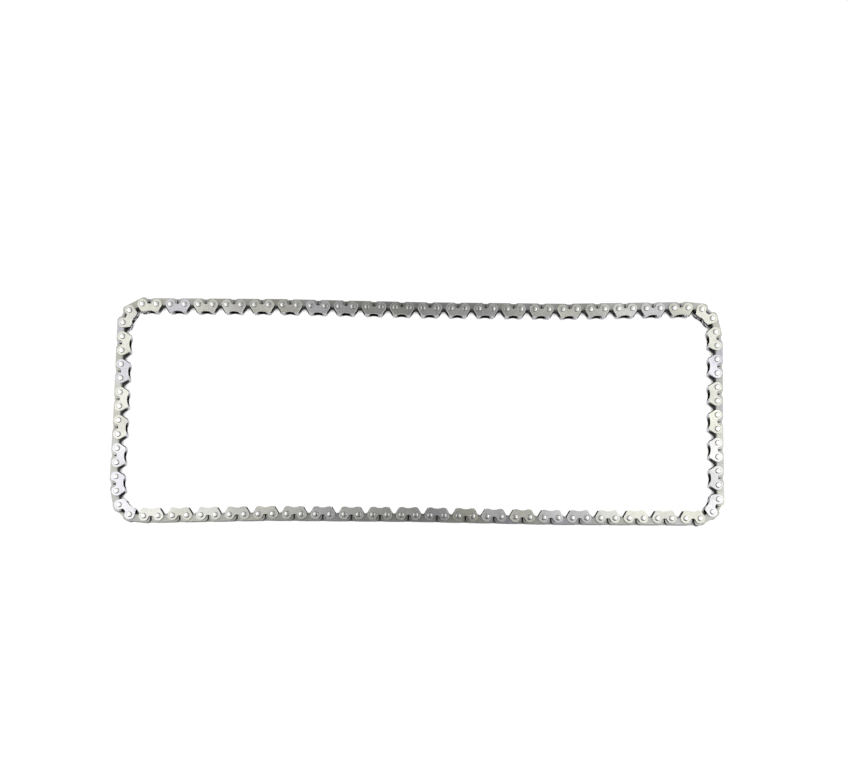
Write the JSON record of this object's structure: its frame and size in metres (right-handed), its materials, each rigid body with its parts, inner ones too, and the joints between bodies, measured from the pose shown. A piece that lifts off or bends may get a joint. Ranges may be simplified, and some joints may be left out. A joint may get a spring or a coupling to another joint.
{
  "type": "timing chain",
  "caption": "Endless silent timing chain of inverted-tooth plates and outer guide plates on round pins, laid on its side as a rounded oblong loop with its teeth pointing inward.",
  "frame": {"origin": "middle of the loop, at the level of the pins' lower ends, on which the chain rests", "axes": "+X along the loop's length, +Y across the loop, +Z along the pins and the chain's width"},
  "size_m": [0.3476, 0.13, 0.0103],
  "materials": {
    "guide_steel": "stamped and tumbled, satin",
    "plate_steel": "blanked edges, satin",
    "pin_steel": "ground, riveted ends"
  },
  "bodies": {
    "top_left_guide_link": {"top_left_guide_link_toothed_plates": "plate_steel", "top_left_guide_link_guide_plates": "guide_steel", "top_left_guide_link_pins": "pin_steel"},
    "top_left_plate_link": {"top_left_plate_link_toothed_plates": "plate_steel"},
    "top_run_1": {"top_run_1_toothed_plates": "plate_steel", "top_run_1_guide_plates": "guide_steel", "top_run_1_pins": "pin_steel"},
    "top_run_2": {"top_run_2_toothed_plates": "plate_steel", "top_run_2_guide_plates": "guide_steel", "top_run_2_pins": "pin_steel"},
    "top_run_3": {"top_run_3_toothed_plates": "plate_steel", "top_run_3_guide_plates": "guide_steel", "top_run_3_pins": "pin_steel"},
    "top_run_4": {"top_run_4_toothed_plates": "plate_steel", "top_run_4_guide_plates": "guide_steel", "top_run_4_pins": "pin_steel"},
    "top_right_guide_link": {"top_right_guide_link_toothed_plates": "plate_steel", "top_right_guide_link_guide_plates": "guide_steel", "top_right_guide_link_pins": "pin_steel"},
    "top_right_plate_link": {"top_right_plate_link_toothed_plates": "plate_steel"},
    "right_run_1": {"right_run_1_toothed_plates": "plate_steel", "right_run_1_guide_plates": "guide_steel", "right_run_1_pins": "pin_steel"},
    "right_run_2": {"right_run_2_toothed_plates": "plate_steel", "right_run_2_guide_plates": "guide_steel", "right_run_2_pins": "pin_steel"},
    "bottom_right_guide_link": {"bottom_right_guide_link_toothed_plates": "plate_steel", "bottom_right_guide_link_guide_plates": "guide_steel", "bottom_right_guide_link_pins": "pin_steel"},
    "bottom_right_plate_link": {"bottom_right_plate_link_toothed_plates": "plate_steel"},
    "bottom_run_1": {"bottom_run_1_toothed_plates": "plate_steel", "bottom_run_1_guide_plates": "guide_steel", "bottom_run_1_pins": "pin_steel"},
    "bottom_run_2": {"bottom_run_2_toothed_plates": "plate_steel", "bottom_run_2_guide_plates": "guide_steel", "bottom_run_2_pins": "pin_steel"},
    "bottom_run_3": {"bottom_run_3_toothed_plates": "plate_steel", "bottom_run_3_guide_plates": "guide_steel", "bottom_run_3_pins": "pin_steel"},
    "bottom_run_4": {"bottom_run_4_toothed_plates": "plate_steel", "bottom_run_4_guide_plates": "guide_steel", "bottom_run_4_pins": "pin_steel"},
    "bottom_left_guide_link": {"bottom_left_guide_link_toothed_plates": "plate_steel", "bottom_left_guide_link_guide_plates": "guide_steel", "bottom_left_guide_link_pins": "pin_steel"},
    "bottom_left_plate_link": {"bottom_left_plate_link_toothed_plates": "plate_steel"},
    "left_run_1": {"left_run_1_toothed_plates": "plate_steel", "left_run_1_guide_plates": "guide_steel", "left_run_1_pins": "pin_steel"},
    "left_run_2": {"left_run_2_toothed_plates": "plate_steel", "left_run_2_guide_plates": "guide_steel", "left_run_2_pins": "pin_steel"}
  },
  "joints": [
    {"name": "bottom_run_bend_2", "type": "hinge", "parent": "bottom_run_2", "child": "bottom_run_3", "pos_m": [-0.00207, -0.05917, 0], "axis": [0, 0, -1], "range_deg": [-4, 30]},
    {"name": "bottom_run_bend_3", "type": "hinge", "parent": "bottom_run_3", "child": "bottom_run_4", "pos_m": [-0.08207, -0.05861, 0], "axis": [0, 0, -1], "range_deg": [-3, 35]},
    {"name": "bottom_left_corner_first", "type": "hinge", "parent": "bottom_run_4", "child": "bottom_left_guide_link", "pos_m": [-0.16201, -0.05906, 0], "axis": [0, 0, -1], "range_deg": [-35, 3]},
    {"name": "bottom_left_corner_middle", "type": "hinge", "parent": "bottom_left_guide_link", "child": "bottom_left_plate_link", "pos_m": [-0.16795, -0.0537, 0], "axis": [0, 0, -1], "range_deg": [-35, 3]},
    {"name": "bottom_left_corner_last", "type": "hinge", "parent": "bottom_left_plate_link", "child": "left_run_1", "pos_m": [-0.16956, -0.04586, 0], "axis": [0, 0, -1], "range_deg": [-11, 27]},
    {"name": "left_run_bend", "type": "hinge", "parent": "left_run_1", "child": "left_run_2", "pos_m": [-0.1692, 0.0021, 0], "axis": [0, 0, -1], "range_deg": [-3, 35]},
    {"name": "top_left_corner_first", "type": "hinge", "parent": "left_run_2", "child": "top_left_guide_link", "pos_m": [-0.16853, 0.0501, 0], "axis": [0, 0, -1], "range_deg": [-27, 11]},
    {"name": "top_left_corner_middle", "type": "hinge", "parent": "top_left_guide_link", "child": "top_left_plate_link", "pos_m": [-0.16501, 0.05728, 0], "axis": [0, 0, -1], "range_deg": [-35, 3]},
    {"name": "top_left_corner_last", "type": "hinge", "parent": "top_left_plate_link", "child": "top_run_1", "pos_m": [-0.15792, 0.06099, 0], "axis": [0, 0, -1], "range_deg": [-30, 4]},
    {"name": "top_run_bend_1", "type": "hinge", "parent": "top_run_1", "child": "top_run_2", "pos_m": [-0.07792, 0.06071, 0], "axis": [0, 0, -1], "range_deg": [-3, 35]},
    {"name": "bottom_run_bend_1", "type": "hinge", "parent": "bottom_run_2", "child": "bottom_run_1", "pos_m": [0.07792, -0.06071, 0], "axis": [0, 0, 1], "range_deg": [-3, 35]},
    {"name": "bottom_right_corner_last", "type": "hinge", "parent": "bottom_run_1", "child": "bottom_right_plate_link", "pos_m": [0.15792, -0.06099, 0], "axis": [0, 0, 1], "range_deg": [-30, 4]},
    {"name": "bottom_right_corner_middle", "type": "hinge", "parent": "bottom_right_plate_link", "child": "bottom_right_guide_link", "pos_m": [0.16501, -0.05728, 0], "axis": [0, 0, 1], "range_deg": [-35, 3]},
    {"name": "bottom_right_corner_first", "type": "hinge", "parent": "bottom_right_guide_link", "child": "right_run_2", "pos_m": [0.16853, -0.0501, 0], "axis": [0, 0, 1], "range_deg": [-27, 11]},
    {"name": "right_run_bend", "type": "hinge", "parent": "right_run_2", "child": "right_run_1", "pos_m": [0.1692, -0.0021, 0], "axis": [0, 0, 1], "range_deg": [-3, 35]},
    {"name": "top_right_corner_last", "type": "hinge", "parent": "right_run_1", "child": "top_right_plate_link", "pos_m": [0.16956, 0.04586, 0], "axis": [0, 0, 1], "range_deg": [-11, 27]},
    {"name": "top_right_corner_middle", "type": "hinge", "parent": "top_right_plate_link", "child": "top_right_guide_link", "pos_m": [0.16795, 0.0537, 0], "axis": [0, 0, 1], "range_deg": [-35, 3]},
    {"name": "top_right_corner_first", "type": "hinge", "parent": "top_right_guide_link", "child": "top_run_4", "pos_m": [0.16201, 0.05906, 0], "axis": [0, 0, 1], "range_deg": [-35, 3]},
    {"name": "top_run_bend_3", "type": "hinge", "parent": "top_run_4", "child": "top_run_3", "pos_m": [0.08207, 0.05861, 0], "axis": [0, 0, 1], "range_deg": [-3, 35]}
  ],
  "couplings": [
    {"joint": "top_run_bend_1", "follows": "bottom_run_bend_1", "ratio": 1},
    {"joint": "top_left_corner_middle", "follows": "bottom_run_bend_1", "ratio": -1},
    {"joint": "bottom_right_corner_middle", "follows": "bottom_run_bend_1", "ratio": -1},
    {"joint": "top_left_corner_last", "follows": "bottom_run_bend_2", "ratio": -1},
    {"joint": "bottom_right_corner_last", "follows": "bottom_run_bend_2", "ratio": -1},
    {"joint": "top_run_bend_3", "follows": "bottom_run_bend_3", "ratio": 1},
    {"joint": "top_right_corner_first", "follows": "bottom_run_bend_3", "ratio": -1},
    {"joint": "bottom_left_corner_first", "follows": "bottom_run_bend_3", "ratio": -1},
    {"joint": "right_run_bend", "follows": "left_run_bend", "ratio": 1},
    {"joint": "top_right_corner_middle", "follows": "left_run_bend", "ratio": -1},
    {"joint": "bottom_left_corner_middle", "follows": "left_run_bend", "ratio": -1},
    {"joint": "top_right_corner_last", "follows": "bottom_left_corner_last", "ratio": 1},
    {"joint": "top_left_corner_first", "follows": "bottom_left_corner_last", "ratio": -1},
    {"joint": "bottom_right_corner_first", "follows": "bottom_left_corner_last", "ratio": -1}
  ]
}
